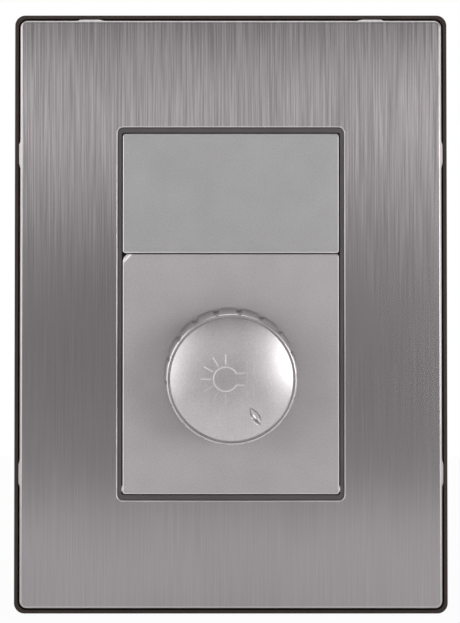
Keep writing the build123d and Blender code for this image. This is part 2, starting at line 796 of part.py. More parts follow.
# cup of the control, notched below for the tab of the wafer
with BuildPart() as control_cup:
    with BuildSketch(at(pot_low, 0, knob_z)):
        Circle(pot_radius)
    extrude(amount=pot_depth)
    with BuildSketch(at(pot_low + pot_wall, 0, knob_z)):
        Circle(pot_radius - pot_wall)
    extrude(amount=pot_depth, mode=Mode.SUBTRACT)
    with BuildSketch(at(wafer_low - lug_thickness, 0, knob_z - pot_radius)):
        Rectangle(wafer_tab_width + fit_gap, pot_radius)
    extrude(amount=pot_depth, mode=Mode.SUBTRACT)
keep(control_cup, "control_cup")


# wafer that carries the resistive track, with a tab for the lugs
with BuildPart() as track_wafer:
    with BuildSketch(at(wafer_low, 0, knob_z)):
        Circle(pot_radius - pot_wall - fit_gap)
        with Locations((0, -wafer_tab_reach / 2)):
            Rectangle(wafer_tab_width, wafer_tab_reach)
        Circle(shaft_collar_radius + collar_gap, mode=Mode.SUBTRACT)
    extrude(amount=wafer_thickness)
keep(track_wafer, "track_wafer")


# three lugs from the tab of the wafer to the circuit board
with BuildPart() as control_lugs:
    for n in (-1, 0, 1):
        with BuildSketch(Plane.YZ.offset(n * lug_pitch - lug_width / 2)):
            with BuildLine():
                lug_z = knob_z - wafer_tab_reach
                inner_z = lug_z + lug_width
                Polyline(
                    (-wafer_low, inner_z + lug_width),
                    (-wafer_low, lug_z),
                    (-board_low + lug_tail, lug_z),
                    (-board_low + lug_tail, lug_z + lug_thickness),
                    (-wafer_low + lug_thickness, lug_z + lug_thickness),
                    (-wafer_low + lug_thickness, inner_z + lug_width),
                    close=True,
                )
            make_face()
        extrude(amount=lug_width)
keep(control_lugs, "control_lugs")


# closed switch chamber on the back of the cup
with BuildPart() as switch_chamber:
    with BuildSketch(at(pot_low, 0, knob_z)):
        Circle(switch_radius)
    extrude(amount=-switch_depth)
    chamfer(switch_chamber.faces().sort_by(Axis.Y)[-1].edges(), face_edge)
keep(switch_chamber, "switch_chamber")


# circuit board with the lead holes
board_width = case_inner_width - 2 * board_edge
board_height = case_height - 2 * case_wall - 2 * board_edge
leg_height = (case_inner_top - sink_edge - sink_thickness) - triac_body / 2
clamp_tail_z = block_z + clamp_side / 2
with BuildPart() as circuit_board:
    with BuildSketch(at(board_low, 0, dimmer_z)):
        Rectangle(board_width, board_height)
    extrude(amount=board_thickness)
    with BuildSketch(at(board_low)):
        with Locations((0, lug_z + lug_thickness / 2)):
            with GridLocations(lug_pitch, 0, 3, 1):
                Circle(lead_hole)
        with Locations((0, leg_height)):
            with GridLocations(triac_leg_pitch, 0, 3, 1):
                Circle(lead_hole)
        with Locations((0, clamp_tail_z)):
            with GridLocations(terminal_pitch, 0, terminal_count, 1):
                Circle(lead_hole)
    extrude(amount=board_thickness, mode=Mode.SUBTRACT)
keep(circuit_board, "circuit_board")


# suppression choke: ring core and its winding
with BuildPart() as choke_ring:
    with BuildSketch(at(parts_top - winding_wall, choke_x, choke_z)):
        Circle(choke_radius)
        Circle(choke_bore, mode=Mode.SUBTRACT)
    extrude(amount=-choke_core)
keep(choke_ring, "choke_ring")

with BuildPart() as choke_winding:
    with BuildSketch(at(parts_top, choke_x, choke_z)):
        Circle(winding_radius)
        Circle(choke_bore - winding_wall, mode=Mode.SUBTRACT)
    extrude(amount=-(choke_core + 2 * winding_wall))
    fillet(choke_winding.edges().filter_by(GeomType.CIRCLE), winding_wall / 2)
    with BuildSketch(at(parts_top, choke_x, choke_z)):
        with PolarLocations(winding_radius, winding_turns):
            Circle(winding_ridge)
    extrude(amount=-(choke_core + 2 * winding_wall), mode=Mode.SUBTRACT)
    with BuildSketch(at(parts_top - winding_wall, choke_x, choke_z)):
        Circle(choke_radius)
        Circle(choke_bore, mode=Mode.SUBTRACT)
    extrude(amount=-choke_core, mode=Mode.SUBTRACT)
    with BuildSketch(at(parts_top, choke_x, choke_z)):
        with Locations((0, choke_radius + winding_wall / 2), (0, -choke_radius - winding_wall / 2)):
            Circle(lead_radius)
    extrude(amount=standoff)
keep(choke_winding, "choke_winding")


# two film capacitors on short leads
with BuildPart() as film_capacitors:
    with BuildSketch(at(parts_top, film_x, film_z)):
        with Locations((0, 0), (film_pitch, 0)):
            RectangleRounded(film_width, film_length, face_corner)
    extrude(amount=-film_height)
    with BuildSketch(at(parts_top, film_x, film_z)):
        with Locations((film_pitch / 2, 0)):
            with GridLocations(film_pitch, film_length - film_width, 2, 2):
                Circle(lead_radius)
    extrude(amount=standoff)
keep(film_capacitors, "film_capacitors")


# aluminium heat sink along the upper wall of the case
sink_low_z = case_inner_top - sink_edge - sink_thickness
sink_top = parts_top
tab_middle = parts_top - triac_leg - triac_length - triac_tab / 2
with BuildPart() as heat_sink:
    with BuildSketch(Plane.XY.offset(sink_low_z)):
        with Locations((0, -sink_top + sink_depth / 2)):
            Rectangle(sink_width, sink_depth)
        with Locations((0, -tab_middle)):
            Circle(sink_screw_radius, mode=Mode.SUBTRACT)
    extrude(amount=sink_thickness)
    with BuildSketch(at(sink_top, 0, sink_low_z - sink_thickness)):
        with Locations(((sink_width - sink_thickness) / 2, 0), ((sink_thickness - sink_width) / 2, 0)):
            Rectangle(sink_thickness, 3 * sink_thickness)
    extrude(amount=-sink_depth)
    with BuildSketch(at(sink_top, 0, sink_low_z + sink_thickness / 2)):
        with GridLocations(sink_width - 2 * sink_thickness, 0, 2, 1):
            Rectangle(sink_thickness, sink_thickness)
    extrude(amount=standoff)
keep(heat_sink, "heat_sink")


# power semiconductor screwed to the heat sink
with BuildPart() as triac:
    body_top = parts_top - triac_leg
    with BuildSketch(at(body_top, 0, sink_low_z - triac_body / 2)):
        Rectangle(triac_width, triac_body)
    extrude(amount=-triac_length)
    with BuildSketch(at(body_top - triac_length, 0, sink_low_z - triac_tab_thickness / 2)):
        Rectangle(triac_width, triac_tab_thickness)
    extrude(amount=-triac_tab)
    with BuildSketch(Plane.XY.offset(sink_low_z - triac_tab_thickness)):
        with Locations((0, -tab_middle)):
            Circle(sink_screw_radius)
    extrude(amount=triac_tab_thickness, mode=Mode.SUBTRACT)
    with BuildSketch(at(body_top, 0, leg_height)):
        with GridLocations(triac_leg_pitch, 0, 3, 1):
            Rectangle(lead_hole, lead_hole / 2)
    extrude(amount=board_top + lug_tail - body_top)
keep(triac, "triac")

with BuildPart() as sink_screw:
    with BuildSketch(Plane.XY.offset(sink_low_z - triac_tab_thickness)):
        with Locations((0, -tab_middle)):
            Circle(sink_head_radius)
    extrude(amount=-sink_head)
    with BuildSketch(Plane.XY.offset(sink_low_z - triac_tab_thickness)):
        with Locations((0, -tab_middle)):
            Circle(sink_screw_radius)
    extrude(amount=triac_tab_thickness + sink_thickness + sink_edge / 2)
    with BuildSketch(Plane.XY.offset(sink_low_z - triac_tab_thickness - sink_head)):
        with Locations((0, -tab_middle)):
            Rectangle(2 * sink_head_radius, screw_slot)
    extrude(amount=sink_head / 2, mode=Mode.SUBTRACT)
keep(sink_screw, "sink_screw")


# glass fuse in two clips
fuse_height = parts_top - fuse_radius - fuse_clip_wall
with BuildPart() as fuse:
    with BuildSketch(Plane.YZ.offset(fuse_x - fuse_length / 2)):
        with Locations((-fuse_height, fuse_z)):
            Circle(fuse_radius)
    extrude(amount=fuse_length)
keep(fuse, "fuse")

with BuildPart() as fuse_clips:
    for end in (-1, 1):
        clip_x = fuse_x + end * (fuse_length - fuse_cap) / 2
        with BuildSketch(Plane.YZ.offset(clip_x - fuse_clip_width / 2)):
            with Locations((-fuse_height, fuse_z)):
                Circle(fuse_radius + fuse_clip_wall)
                Circle(fuse_radius, mode=Mode.SUBTRACT)
            with Locations((-fuse_height + 2 * fuse_radius, fuse_z)):
                Rectangle(3 * fuse_radius, 4 * fuse_radius, mode=Mode.SUBTRACT)
        extrude(amount=fuse_clip_width)
        with BuildSketch(at(parts_top, clip_x, fuse_z)):
            Rectangle(fuse_clip_wall * 2, lead_hole)
        extrude(amount=standoff)
keep(fuse_clips, "fuse_clips")


# resistors and trigger diode on the front of the circuit board
with BuildPart() as resistors:
    for n in range(resistor_count):
        row = dimmer_z + (n - (resistor_count - 1) / 2) * resistor_pitch
        with BuildSketch(Plane.XY.offset(row - resistor_length / 2)):
            with Locations((resistor_x, -board_top - resistor_radius)):
                Circle(resistor_radius)
        extrude(amount=resistor_length)
keep(resistors, "resistors")

with BuildPart() as trigger_diode:
    with BuildSketch(Plane.XY.offset(dimmer_z - diac_length / 2)):
        with Locations((diac_x, -board_top - diac_radius)):
            Circle(diac_radius)
    extrude(amount=diac_length)
keep(trigger_diode, "trigger_diode")


# terminal block against the lower wall, with a pocket for each clamp
with BuildPart() as terminal_block:
    with BuildSketch(at(case_inner_back, 0, block_z)):
        Rectangle(terminal_block_width, terminal_block_depth)
    extrude(amount=terminal_block_length)
    with BuildSketch(at(clamp_low, 0, block_z)):
        with GridLocations(terminal_pitch, 0, terminal_count, 1):
            Rectangle(clamp_side + 2 * clamp_gap, clamp_side + 2 * clamp_gap)
    extrude(amount=terminal_block_length, mode=Mode.SUBTRACT)
    with BuildSketch(at(case_inner_back, 0, block_z)):
        with GridLocations(terminal_pitch, 0, terminal_count, 1):
            Circle(terminal_head_radius + clamp_gap)
    extrude(amount=clamp_rear_wall, mode=Mode.SUBTRACT)
    with BuildSketch(Plane.XY.offset(case_inner_low)):
        with Locations((0, -clamp_low - clamp_length / 2)):
            with GridLocations(terminal_pitch, 0, terminal_count, 1):
                Circle(wire_hole / 2)
    extrude(amount=terminal_block_depth / 2, mode=Mode.SUBTRACT)
keep(terminal_block, "terminal_block")


# brass clamps with a tail to the circuit board
with BuildPart() as terminal_clamps:
    with BuildSketch(at(clamp_low, 0, block_z)):
        with GridLocations(terminal_pitch, 0, terminal_count, 1):
            Rectangle(clamp_side, clamp_side)
    extrude(amount=clamp_length)
    with BuildSketch(Plane.XY.offset(block_z - clamp_side / 2)):
        with Locations((0, -clamp_low - clamp_length / 2)):
            with GridLocations(terminal_pitch, 0, terminal_count, 1):
                Circle(wire_hole / 2 - clamp_gap)
    extrude(amount=clamp_side, mode=Mode.SUBTRACT)
    with BuildSketch(at(clamp_low, 0, block_z)):
        with GridLocations(terminal_pitch, 0, terminal_count, 1):
            Circle(terminal_screw_radius)
    extrude(amount=clamp_length / 2, mode=Mode.SUBTRACT)
    with BuildSketch(at(clamp_low + clamp_length, 0, clamp_tail_z - lug_thickness / 2)):
        with GridLocations(terminal_pitch, 0, terminal_count, 1):
            Rectangle(lug_width, lug_thickness)
    extrude(amount=board_top + lug_tail - clamp_low - clamp_length)
keep(terminal_clamps, "terminal_clamps")


# slotted terminal screws, reached from behind
with BuildPart() as terminal_screws:
    with BuildSketch(at(clamp_low, 0, block_z)):
        with GridLocations(terminal_pitch, 0, terminal_count, 1):
            Circle(terminal_head_radius)
    extrude(amount=-terminal_head)
    with BuildSketch(at(clamp_low, 0, block_z)):
        with GridLocations(terminal_pitch, 0, terminal_count, 1):
            Circle(terminal_screw_radius - fit_gap)
    extrude(amount=clamp_length / 2)
    with BuildSketch(at(clamp_low - terminal_head, 0, block_z)):
        with GridLocations(terminal_pitch, 0, terminal_count, 1):
            Rectangle(2 * terminal_head_radius, screw_slot)
    extrude(amount=terminal_head / 2, mode=Mode.SUBTRACT)
keep(terminal_screws, "terminal_screws")
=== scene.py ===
import math

import bpy
import numpy as np
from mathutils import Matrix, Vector


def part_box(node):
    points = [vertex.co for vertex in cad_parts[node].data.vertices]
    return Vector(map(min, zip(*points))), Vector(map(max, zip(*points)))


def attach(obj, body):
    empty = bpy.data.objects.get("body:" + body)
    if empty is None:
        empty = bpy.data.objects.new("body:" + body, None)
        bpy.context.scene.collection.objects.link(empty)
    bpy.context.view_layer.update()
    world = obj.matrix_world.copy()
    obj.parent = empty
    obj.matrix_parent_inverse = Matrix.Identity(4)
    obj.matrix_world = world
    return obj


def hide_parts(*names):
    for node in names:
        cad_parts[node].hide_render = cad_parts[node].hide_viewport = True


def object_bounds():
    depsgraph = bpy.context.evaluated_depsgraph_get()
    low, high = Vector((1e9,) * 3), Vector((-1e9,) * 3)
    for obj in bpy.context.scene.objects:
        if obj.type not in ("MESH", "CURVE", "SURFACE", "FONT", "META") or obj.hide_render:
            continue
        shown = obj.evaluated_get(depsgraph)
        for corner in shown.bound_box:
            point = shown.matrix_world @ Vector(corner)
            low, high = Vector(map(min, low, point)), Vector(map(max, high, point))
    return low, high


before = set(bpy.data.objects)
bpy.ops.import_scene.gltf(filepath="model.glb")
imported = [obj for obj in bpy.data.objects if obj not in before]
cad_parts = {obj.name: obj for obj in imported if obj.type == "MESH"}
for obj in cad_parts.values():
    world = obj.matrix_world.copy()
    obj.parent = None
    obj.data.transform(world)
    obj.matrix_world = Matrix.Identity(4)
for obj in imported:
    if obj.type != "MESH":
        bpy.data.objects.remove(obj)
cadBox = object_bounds()
mm = 0.001
print("frame loaded:", len(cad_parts), "nodes")


# a value in a node tree; arithmetic on it adds the Math nodes
class Value:
    def __init__(self, nodes, socket):
        self.nodes = nodes
        self.socket = socket

    def math(self, operation, *others):
        return self.nodes.add("ShaderNodeMath", {"operation": operation}, dict(enumerate((self, *others))))

    def __add__(self, other):
        return self.math("ADD", other)

    def __sub__(self, other):
        return self.math("SUBTRACT", other)

    def __rsub__(self, other):
        return self.nodes.add("ShaderNodeMath", {"operation": "SUBTRACT"}, {0: other, 1: self})

    def __mul__(self, other):
        return self.math("MULTIPLY", other)

    __radd__ = __add__
    __rmul__ = __mul__


# one node tree, with the few patterns that the finishes are made of
class Nodes:
    def __init__(self, tree):
        self.tree = tree
        tree.nodes.clear()

    # any node: its settings are made first, then its sockets get their values or links
    def add(self, kind, settings=None, values=None, output=0):
        node = self.tree.nodes.new(kind)
        for name, setting in (settings or {}).items():
            setattr(node, name, setting)
        for key, value in (values or {}).items():
            if isinstance(value, Value):
                self.tree.links.new(value.socket, node.inputs[key])
            else:
                node.inputs[key].default_value = value
        return Value(self, node.outputs[output]) if node.outputs else None

    # object coordinates in millimetres, stretched along each axis
    def spot(self, stretch=(1, 1, 1)):
        place = self.add("ShaderNodeTexCoord", output="Object")
        scale = [share / mm for share in stretch]
        return self.add("ShaderNodeVectorMath", {"operation": "MULTIPLY"}, {0: place, 1: scale})

    # one coordinate of a vector: 0 is to the right, 1 into the wall and 2 up
    def part(self, vector, axis):
        return self.add("ShaderNodeSeparateXYZ", {}, {0: vector}, axis)

    # a noise varies about one half; its detail is the number of finer layers in it
    def noise(self, spot, scale, detail):
        return self.add("ShaderNodeTexNoise", {}, {"Vector": spot, "Scale": scale, "Detail": detail})

    # smooth step from 0 at low to 1 at high
    def step(self, value, low, high):
        settings = {"interpolation_type": "SMOOTHSTEP"}
        return self.add("ShaderNodeMapRange", settings, {0: value, 1: low, 2: high})

    # 1 between low and high, with soft shoulders
    def band(self, value, low, high, soft):
        rise = self.step(value, low - soft, low + soft)
        return rise * (1 - self.step(value, high - soft, high + soft))

    # a colour between two; a Mix node keeps its colours in sockets 6 and 7 and its output 2
    def mix(self, share, first, second):
        return self.add("ShaderNodeMix", {"data_type": "RGBA"}, {0: share, 6: first, 7: second}, 2)

    # relief whose depth in millimetres is that of a height of 1
    def bump(self, height, depth):
        return self.add("ShaderNodeBump", {}, {"Strength": 1.0, "Distance": depth * mm, "Height": height})


# a grey with a warm cast: each channel is the level, changed by its share of the cast
def grey(level, warm=1.0):
    cast = (0.055, -0.02, 0.005)
    return (*(level * (1 + share * warm) for share in cast), 1)


# a material and its node tree
def newFinish(name):
    material = bpy.data.materials.new(name)
    material.use_nodes = True
    return material, Nodes(material.node_tree)


# the shader with its values, as the surface of the material
def closeFinish(nodes, values):
    shader = nodes.add("ShaderNodeBsdfPrincipled", {}, values)
    nodes.add("ShaderNodeOutputMaterial", {}, {"Surface": shader})


# metal drawn lengthwise: fine and coarse streaks along the height; they have their full strength above the
# upper fade and the least below the lower one, both in millimetres from the centre. The fade is painted
# light: it stands in for the light showing the streaks less on the lower part of the plate
brushed = {
    "dark": grey(0.26), "light": grey(0.44), "contrast": 5.4, "cloud": 0.05, "cloudShare": 0.25,
    "coarse": 3.4, "fine": 6.5, "fineShare": 0.4, "streakLength": 0.012,
    "fadeLow": -4.0, "fadeHigh": 48.0, "least": 0.15,
    "roughness": 0.18, "roughnessSpread": 0.10, "depth": 0.003, "anisotropy": 0.3,
    # the colour, mattness and roughness of the painted highlight on the bent and cut edges
    "highlightColour": grey(0.80, 0.6), "highlightMatt": 0.6, "highlightRough": 0.6,
}


def brushedFinish(name, look):
    material, nodes = newFinish(name)
    along = nodes.spot((1, 1, look["streakLength"]))
    coarse, fine = nodes.noise(along, look["coarse"], 3), nodes.noise(along, look["fine"], 2)
    streaks = (1 - look["fineShare"]) * coarse + look["fineShare"] * fine
    height = nodes.part(nodes.spot(), 2)
    strength = look["least"] + (1 - look["least"]) * nodes.step(height, look["fadeLow"], look["fadeHigh"])
    cloud = nodes.noise(nodes.spot(), look["cloud"], 1)
    # a line is a streak's distance from the mean; the tone is half way between dark and light there
    line = (streaks - 0.5) * strength
    tone = 0.5 + look["contrast"] * line + look["cloudShare"] * (cloud - 0.5)
    face = nodes.mix(tone, look["dark"], look["light"])
    # a painted highlight makes the bent and cut edges paler, less metallic and rougher; its share is kept on
    # the cover's own points
    paintedHighlight = nodes.add("ShaderNodeAttribute", {"attribute_name": "paintedHighlight"}, output="Fac")
    closeFinish(nodes, {
        "Base Color": nodes.mix(paintedHighlight, face, look["highlightColour"]),
        "Roughness": look["roughness"] + look["roughnessSpread"] * line + look["highlightRough"] * paintedHighlight,
        "Metallic": 1 - look["highlightMatt"] * paintedHighlight,
        "Anisotropic": look["anisotropy"],
        "Normal": nodes.bump(line, look["depth"]),
    })
    return material


# share of the paler colour: where the paint is off, 1 on the slope of the broken corner, which is all that
# lies near its plane, to the left of the corner and below it; and a painted highlight, 1 on the tips of the
# two nibs, which stand out beyond the sides of the face, and less along the bevels, which are all that lies
# between two heights above the wall; the bevel of the upper edge gets no painted highlight
def chipAndGlintShare(nodes, look):
    spot = nodes.spot()
    offset = nodes.add("ShaderNodeVectorMath", {"operation": "SUBTRACT"}, {0: spot, 1: look["corner"]})
    # distance from the plane of the slope, which runs through the corner, square to the normal
    depth = nodes.add(
        "ShaderNodeVectorMath", {"operation": "DOT_PRODUCT"}, {0: offset, 1: look["normal"]}, "Value",
    )
    soft = look["soft"]
    slope = 1 - nodes.step(depth.math("ABSOLUTE"), *look["chipReach"])
    for axis in (0, 2):
        slope = slope * (1 - nodes.step(nodes.part(offset, axis), *look["chipReach"]))
    nibs = nodes.step(nodes.part(spot, 0).math("ABSOLUTE"), look["side"], look["side"] + soft)
    nibs = nibs * nodes.band(nodes.part(spot, 2), *look["nibs"], soft)
    height = -1 * nodes.part(spot, 1)
    bevels = look["bevelShare"] * nodes.band(height, *look["bevels"], look["bevelSoft"])
    bevels = bevels * (1 - nodes.band(nodes.part(spot, 2), *look["upperEdge"], look["bevelSoft"]))
    return slope.math("MAXIMUM", nibs).math("MAXIMUM", bevels)


# what the plain finishes have in common: the tones at which they are fully dark and fully light,
# and the roughness of a coat
plain = {"darkTone": 0.3, "lightTone": 0.7, "coatRoughness": 0.12}


# every other surface: a fine grain over soft clouds, in colour, roughness and relief
def plainFinish(name, look):
    material, nodes = newFinish(name)
    grain = nodes.noise(nodes.spot(look.get("stretch", (1, 1, 1))), look["grain"], 3)
    cloud = nodes.noise(nodes.spot(), look["cloud"], 2)
    tone = look["grainShare"] * grain + (1 - look["grainShare"]) * cloud
    lightness = nodes.step(tone, plain["darkTone"], plain["lightTone"])
    colour = nodes.mix(lightness, look["dark"], look["light"])
    if "paintedShade" in look:
        # painted shade: the grip darkens towards the wall
        height = -1 * nodes.part(nodes.spot(), 1)
        colour = nodes.mix(nodes.step(height, *look["shadeHeights"]), look["paintedShade"], colour)
    if "signHighlight" in look:
        # a painted highlight makes the lines of the sign bright; their share is kept on the cap's own points
        signLit = nodes.add("ShaderNodeAttribute", {"attribute_name": "sign"}, output="Fac")
        colour = nodes.mix(signLit, colour, look["signHighlight"])
    metallic = look.get("metallic", 0.0)
    # the paler colour is the plastic under the paint at the broken corner and a painted highlight on the nib
    # tips and the bevels
    if "chipAndHighlight" in look:
        bareAndLit = chipAndGlintShare(nodes, look["chipAndHighlight"])
        colour = nodes.mix(bareAndLit, colour, look["chipAndHighlight"]["tone"])
        metallic = metallic * (1 - bareAndLit)
    closeFinish(nodes, {
        "Base Color": colour,
        "Roughness": look["roughness"] + look["roughnessSpread"] * (tone - 0.5),
        "Metallic": metallic,
        "Specular IOR Level": look.get("specular", 0.5),
        "Coat Weight": look.get("coat", 0.0),
        "Coat Roughness": plain["coatRoughness"],
        "Normal": nodes.bump(grain, look["depth"]),
    })
    return material


# one look for each other slot of the part; places and depths are in millimetres
finishes = {
    "black_surround": {
        "dark": (0.030, 0.020, 0.017, 1), "light": (0.044, 0.030, 0.026, 1), "grain": 5.0, "cloud": 0.15,
        "grainShare": 0.5, "roughness": 0.46, "roughnessSpread": 0.10, "depth": 0.006, "specular": 0.22,
    },
    "dark_rim": {
        "dark": grey(0.058, 2.2), "light": grey(0.076, 2.2), "grain": 5.0, "cloud": 0.2, "grainShare": 0.5,
        "roughness": 0.40, "roughnessSpread": 0.10, "depth": 0.005,
    },
    "silver_face": {
        # lighter than the blank's paint, as painted light against the shade around the knob
        "dark": grey(0.366, 0.9), "light": grey(0.448, 0.9), "grain": 3.8, "cloud": 0.16, "grainShare": 0.75,
        "roughness": 0.48, "roughnessSpread": 0.06, "depth": 0.0025, "metallic": 0.30, "specular": 0.3,
        "chipAndHighlight": {
            "corner": (-20.1, -9.2, 11.87), "normal": (-0.6174, -0.4874, 0.6174), "side": 21.63, "soft": 0.05,
            "nibs": (-35.25, -34.75), "bevels": (8.96, 9.15), "bevelSoft": 0.02, "bevelShare": 0.9,
            "upperEdge": (11.5, 11.99), "chipReach": (0.16, 0.42), "tone": (0.88, 0.84, 0.85, 1),
        },
    },
    "silver_knob": {
        "dark": grey(0.49, 0.7), "light": grey(0.60, 0.7), "grain": 3.6, "cloud": 0.2, "grainShare": 0.65,
        "roughness": 0.29, "roughnessSpread": 0.08, "depth": 0.0034, "metallic": 0.95,
        # the colour of the painted highlight on the lines of the sign
        "signHighlight": grey(0.80, 0.3),
    },
    "grey_case": {
        "dark": grey(0.30, 0.2), "light": grey(0.36, 0.2), "grain": 3.0, "cloud": 0.12, "grainShare": 0.5,
        "roughness": 0.55, "roughnessSpread": 0.15, "depth": 0.012,
    },
    "bright_steel": {
        "dark": grey(0.52, 0), "light": grey(0.62, 0), "grain": 4.0, "cloud": 0.3, "grainShare": 0.6,
        "roughness": 0.26, "roughnessSpread": 0.15, "depth": 0.004, "metallic": 1.0, "stretch": (1, 0.1, 1),
    },
    "brass_clamp": {
        "dark": (0.50, 0.33, 0.12, 1), "light": (0.66, 0.46, 0.18, 1), "grain": 3.0, "cloud": 0.4,
        "grainShare": 0.5, "roughness": 0.32, "roughnessSpread": 0.20, "depth": 0.006, "metallic": 1.0,
    },
    "dark_moulding": {
        "dark": grey(0.020, 0), "light": grey(0.034, 0), "grain": 4.0, "cloud": 0.2, "grainShare": 0.5,
        "roughness": 0.50, "roughnessSpread": 0.15, "depth": 0.010,
    },
    "board_laminate": {
        "dark": (0.10, 0.075, 0.030, 1), "light": (0.17, 0.13, 0.055, 1), "grain": 2.4, "cloud": 0.25,
        "grainShare": 0.7, "roughness": 0.45, "roughnessSpread": 0.15, "depth": 0.010,
        "stretch": (1, 1, 0.15),
    },
    "ferrite": {
        "dark": grey(0.025, 0), "light": grey(0.045, 0), "grain": 6.0, "cloud": 0.5, "grainShare": 0.7,
        "roughness": 0.62, "roughnessSpread": 0.2, "depth": 0.02,
    },
    "copper_wire": {
        "dark": (0.36, 0.13, 0.05, 1), "light": (0.55, 0.22, 0.09, 1), "grain": 2.6, "cloud": 0.4,
        "grainShare": 0.6, "roughness": 0.30, "roughnessSpread": 0.15, "depth": 0.02, "metallic": 0.9,
        "coat": 0.6, "stretch": (1, 0.12, 1),
    },
    "film_case": {
        "dark": (0.50, 0.30, 0.045, 1), "light": (0.60, 0.38, 0.07, 1), "grain": 5.0, "cloud": 0.3,
        "grainShare": 0.5, "roughness": 0.38, "roughnessSpread": 0.12, "depth": 0.006,
    },
    "aluminium_sink": {
        "dark": grey(0.50, 0), "light": grey(0.60, 0), "grain": 2.2, "cloud": 0.2, "grainShare": 0.7,
        "roughness": 0.36, "roughnessSpread": 0.15, "depth": 0.006, "metallic": 1.0, "stretch": (1, 0.05, 1),
    },
    "fuse_glass": {
        "dark": (0.62, 0.66, 0.66, 1), "light": (0.72, 0.76, 0.76, 1), "grain": 1.5, "cloud": 0.3,
        "grainShare": 0.4, "roughness": 0.10, "roughnessSpread": 0.06, "depth": 0.002, "coat": 1.0,
    },
    "resistor_body": {
        "dark": (0.36, 0.27, 0.15, 1), "light": (0.44, 0.34, 0.20, 1), "grain": 5.0, "cloud": 0.6,
        "grainShare": 0.5, "roughness": 0.40, "roughnessSpread": 0.10, "depth": 0.006, "coat": 0.4,
    },
}

# the blank is the same paint, a little more neutral and darker: the face's paint is made lighter as painted
# light, against the shade around the knob. The blank's upper edge is further up; the knob's grip is its
# paint, with painted shade darkening it towards the wall
finishes["silver_blank"] = dict(
    finishes["silver_face"], dark=grey(0.335, 0.25), light=grey(0.411, 0.25),
    chipAndHighlight=dict(finishes["silver_face"]["chipAndHighlight"], upperEdge=(35.5, 36.5)),
)
finishes["silver_grip"] = dict(finishes["silver_knob"], paintedShade=grey(0.27, 0.7), shadeHeights=(12.0, 24.0))
batches = {"blank_insert": "silver_blank", "knob_grip": "silver_grip"}

materials = {slot: plainFinish(slot + "_look", look) for slot, look in finishes.items()}
materials["brushed_cover"] = brushedFinish("brushed_cover_look", brushed)
for name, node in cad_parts.items():
    for slot in node.material_slots:
        slot.material = materials[batches.get(name, slot.material.name)]
print("finishes:", len(materials))


# rings[i, j] is step j round ring i, and quads join neighbouring rings; closed round, the last
# ring joins the first, and closed by poles, a point in its middle closes the ring at each end
def ringMesh(name, rings, closing):
    count, steps = rings.shape[:2]
    points = rings.reshape(-1, 3)
    nextStep = (np.arange(steps) + 1) % steps
    first = np.arange(count if closing == "round" else count - 1)[:, None] * steps
    second = (first + steps) % (count * steps)
    here = np.arange(steps)[None, :]
    quads = np.stack([first + here, first + nextStep, second + nextStep, second + here], -1).reshape(-1, 4)
    faces = quads.tolist()
    if closing == "poles":
        ends = [points[:steps].mean(0), points[-steps:].mean(0)]
        points = np.vstack([points, ends])
        top, bottom = count * steps, count * steps + 1
        last = (count - 1) * steps
        faces += np.stack([nextStep, np.arange(steps), np.full(steps, top)], -1).tolist()
        faces += np.stack([last + np.arange(steps), last + nextStep, np.full(steps, bottom)], -1).tolist()
    mesh = bpy.data.meshes.new(name)
    mesh.from_pydata(points.tolist(), [], faces)
    mesh.update()
    piece = bpy.data.objects.new(name, mesh)
    bpy.context.scene.collection.objects.link(piece)
    return piece


# smooth shading, apart from edges sharper than the angle in degrees
def shade(piece, angle):
    piece.data.shade_smooth()
    piece.data.set_sharp_from_angle(angle=math.radians(angle))


def smoothStep(value, low, high):
    share = np.clip((value - low) / (high - low), 0, 1)
    return share * share * (3 - 2 * share)


# the metal cover: its skirt, fold, face, window edge and inner side are one surface; lances are
# its pressed bumps, and margins are strips of flat face beside the fold and the window's edge
cover = {
    "window": (45.3, 74.6), "sheet": 0.8, "skirt": 3.0, "fold": 0.62, "corner": 1.5, "leastCorner": 0.3,
    "windowCorner": 1.1, "windowEdge": 0.25, "margin": 0.05,
    "lanceX": 28.2, "lanceZ": 32.0, "lanceHalf": 2.6, "lanceEnd": 0.6, "lanceOut": 0.26, "lanceRise": 1.2,
    "lanceFade": (0.40, 0.04), "touch": 0.01,
    "longSteps": 240, "shortSteps": 170, "cornerSteps": 10, "skirtRows": 7, "foldSteps": 8, "edgeRows": 5,
    # the shares of painted highlight on the fold and on the window's edge
    "foldHighlight": 0.35, "edgeHighlight": 0.4, "sharpFrom": 40,
}


# a rounded rectangle as one closed ring, from the middle of its right side upwards:
# each straight side is shared out evenly, and each corner is a quarter circle
def roundedRing(width, height, corner, look):
    side = np.linspace(0, 1, look["longSteps"] + 1)[:-1]
    end = np.linspace(0, 1, look["shortSteps"] + 1)[:-1]
    turn = np.linspace(0, np.pi / 2, look["cornerSteps"] + 1)[:-1]
    straightX, straightZ = width / 2 - corner, height / 2 - corner
    arc = corner * np.stack([np.cos(turn), np.sin(turn)], -1)
    quarter = np.array([[0, -1], [1, 0]])
    right = np.stack([np.full(side.size, width / 2), -straightZ + 2 * straightZ * side], -1)
    upper = np.stack([straightX - 2 * straightX * end, np.full(end.size, height / 2)], -1)
    half = np.vstack([
        right, arc + [straightX, straightZ],
        upper, arc @ quarter.T + [-straightX, straightZ],
    ])
    return np.vstack([half, -half])


# share of a pressed bump at each point of a side: 1 about its middle, falling softly to 0 at its
# two ends
def bumpShare(along, middle, look):
    away = np.abs(np.abs(along) - middle)
    return 1 - smoothStep(away, look["lanceHalf"] - look["lanceEnd"], look["lanceHalf"])


